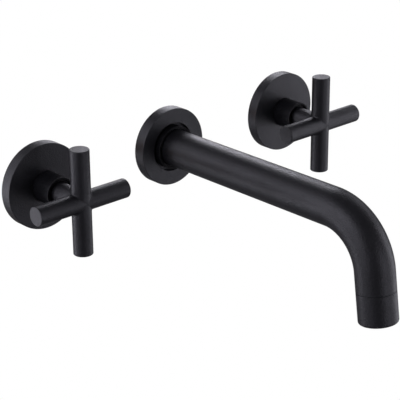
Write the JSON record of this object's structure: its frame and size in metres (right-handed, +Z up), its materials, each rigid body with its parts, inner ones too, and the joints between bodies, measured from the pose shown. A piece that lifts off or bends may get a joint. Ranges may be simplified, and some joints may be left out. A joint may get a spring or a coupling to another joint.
{
  "type": "wall mounted bath faucet",
  "caption": "Wall-mounted bath faucet with a long round spout and cross handles on round flanges, with the quarter-turn valves and pipework behind the wall.",
  "frame": {"origin": "centre of the spout flange's back, on the finished wall face", "axes": "+Z up, -Y out of the wall into the room, +Y into the wall, +X to the right as seen from the room"},
  "size_m": [0.27, 0.2601, 0.0949],
  "materials": {
    "black_finish": "satin black powder coat over brass",
    "turned_brass": "turned, fine tool marks",
    "cast_brass": "sand-cast skin with machined faces",
    "copper_pipe": "drawn copper, slightly dulled",
    "screw_steel": "plain stainless steel",
    "plate_steel": "galvanised sheet",
    "seal_rubber": "matt black rubber",
    "disc_ceramic": "lapped white alumina",
    "aerator_plastic": "moulded acetal"
  },
  "bodies": {
    "faucet": {"aerator_cap": "black_finish", "aerator_washer": "seal_rubber", "cold_cartridge": "turned_brass", "cold_crossover_nuts": "turned_brass", "cold_crossover_olives": "turned_brass", "cold_crossover_pipe": "copper_pipe", "cold_fixed_disc": "disc_ceramic", "cold_flange": "black_finish", "cold_flange_gasket": "seal_rubber", "cold_seat_seal": "seal_rubber", "cold_sleeve": "black_finish", "cold_sleeve_seal": "seal_rubber", "cold_valve_body": "cast_brass", "flow_straightener": "aerator_plastic", "hot_cartridge": "turned_brass", "hot_crossover_nuts": "turned_brass", "hot_crossover_olives": "turned_brass", "hot_crossover_pipe": "copper_pipe", "hot_fixed_disc": "disc_ceramic", "hot_flange": "black_finish", "hot_flange_gasket": "seal_rubber", "hot_seat_seal": "seal_rubber", "hot_sleeve": "black_finish", "hot_sleeve_seal": "seal_rubber", "hot_valve_body": "cast_brass", "mounting_plate": "plate_steel", "nipple_seals": "seal_rubber", "outlet_fitting": "turned_brass", "plate_screws": "screw_steel", "spout_collar": "black_finish", "spout_collar_seal": "seal_rubber", "spout_flange": "black_finish", "spout_flange_gasket": "seal_rubber", "spout_nipple": "turned_brass", "spout_screw": "screw_steel", "spout_socket": "turned_brass", "spout_tee": "cast_brass", "spout_tube": "black_finish"},
    "hot_handle": {"hot_drive_insert": "turned_brass", "hot_handle": "black_finish", "hot_handle_screw": "screw_steel", "hot_moving_disc": "disc_ceramic", "hot_stem": "turned_brass", "hot_stem_clip": "screw_steel", "hot_stem_seals": "seal_rubber"},
    "cold_handle": {"cold_drive_insert": "turned_brass", "cold_handle": "black_finish", "cold_handle_screw": "screw_steel", "cold_moving_disc": "disc_ceramic", "cold_stem": "turned_brass", "cold_stem_clip": "screw_steel", "cold_stem_seals": "seal_rubber"}
  },
  "joints": [
    {"name": "hot_handle_turn", "type": "hinge", "parent": "faucet", "child": "hot_handle", "pos_m": [-0.1016, -0.042, 0], "axis": [0, -1, 0], "range_deg": [0, 90]},
    {"name": "cold_handle_turn", "type": "hinge", "parent": "faucet", "child": "cold_handle", "pos_m": [0.1016, -0.042, 0], "axis": [0, 1, 0], "range_deg": [0, 90]}
  ]
}
